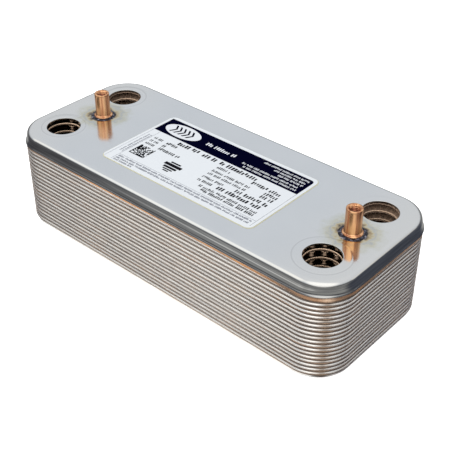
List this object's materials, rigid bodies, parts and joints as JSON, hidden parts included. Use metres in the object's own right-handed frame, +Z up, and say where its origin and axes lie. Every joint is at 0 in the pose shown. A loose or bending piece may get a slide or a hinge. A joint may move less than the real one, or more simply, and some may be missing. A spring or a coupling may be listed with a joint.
{
  "type": "plate heat exchanger",
  "caption": "Brazed plate heat exchanger for a boiler: nested corrugated steel plates under a drawn cover with round ports and threaded weld studs.",
  "frame": {"origin": "middle of the base rim, in the plane it stands on", "axes": "+X along the length towards the end whose stud is in line with its ports, +Y across the width, +Z up through the stack to the ports"},
  "size_m": [0.1904, 0.077, 0.0605],
  "materials": {
    "stainless_steel": "bright cold-rolled sheet, satin, faintly heat-tinted near the studs",
    "braze_copper": "solidified copper braze, brown and semi-matt",
    "stud_copper": "bright drawn copper plating with lengthwise streaks",
    "weld_oxide": "rough dark weld flash",
    "label_film": "white printed film, slightly glossy"
  },
  "bodies": {
    "root": {"cover_plate": "stainless_steel", "end_plate": "stainless_steel", "channel_plate_01": "stainless_steel", "channel_plate_02": "stainless_steel", "channel_plate_03": "stainless_steel", "channel_plate_04": "stainless_steel", "channel_plate_05": "stainless_steel", "channel_plate_06": "stainless_steel", "channel_plate_07": "stainless_steel", "channel_plate_08": "stainless_steel", "channel_plate_09": "stainless_steel", "channel_plate_10": "stainless_steel", "channel_plate_11": "stainless_steel", "channel_plate_12": "stainless_steel", "channel_plate_13": "stainless_steel", "channel_plate_14": "stainless_steel", "channel_plate_15": "stainless_steel", "channel_plate_16": "stainless_steel", "channel_plate_17": "stainless_steel", "channel_plate_18": "stainless_steel", "channel_plate_19": "stainless_steel", "braze_seam_01": "braze_copper", "braze_seam_02": "braze_copper", "braze_seam_03": "braze_copper", "braze_seam_04": "braze_copper", "braze_seam_05": "braze_copper", "braze_seam_06": "braze_copper", "braze_seam_07": "braze_copper", "braze_seam_08": "braze_copper", "braze_seam_09": "braze_copper", "braze_seam_10": "braze_copper", "braze_seam_11": "braze_copper", "braze_seam_12": "braze_copper", "braze_seam_13": "braze_copper", "braze_seam_14": "braze_copper", "braze_seam_15": "braze_copper", "braze_seam_16": "braze_copper", "braze_seam_17": "braze_copper", "braze_seam_18": "braze_copper", "braze_seam_19": "braze_copper", "braze_seam_20": "braze_copper", "weld_stud_left": "stud_copper", "weld_bead_left": "weld_oxide", "weld_stud_right": "stud_copper", "weld_bead_right": "weld_oxide", "rating_label": "label_film"}
  },
  "joints": []
}
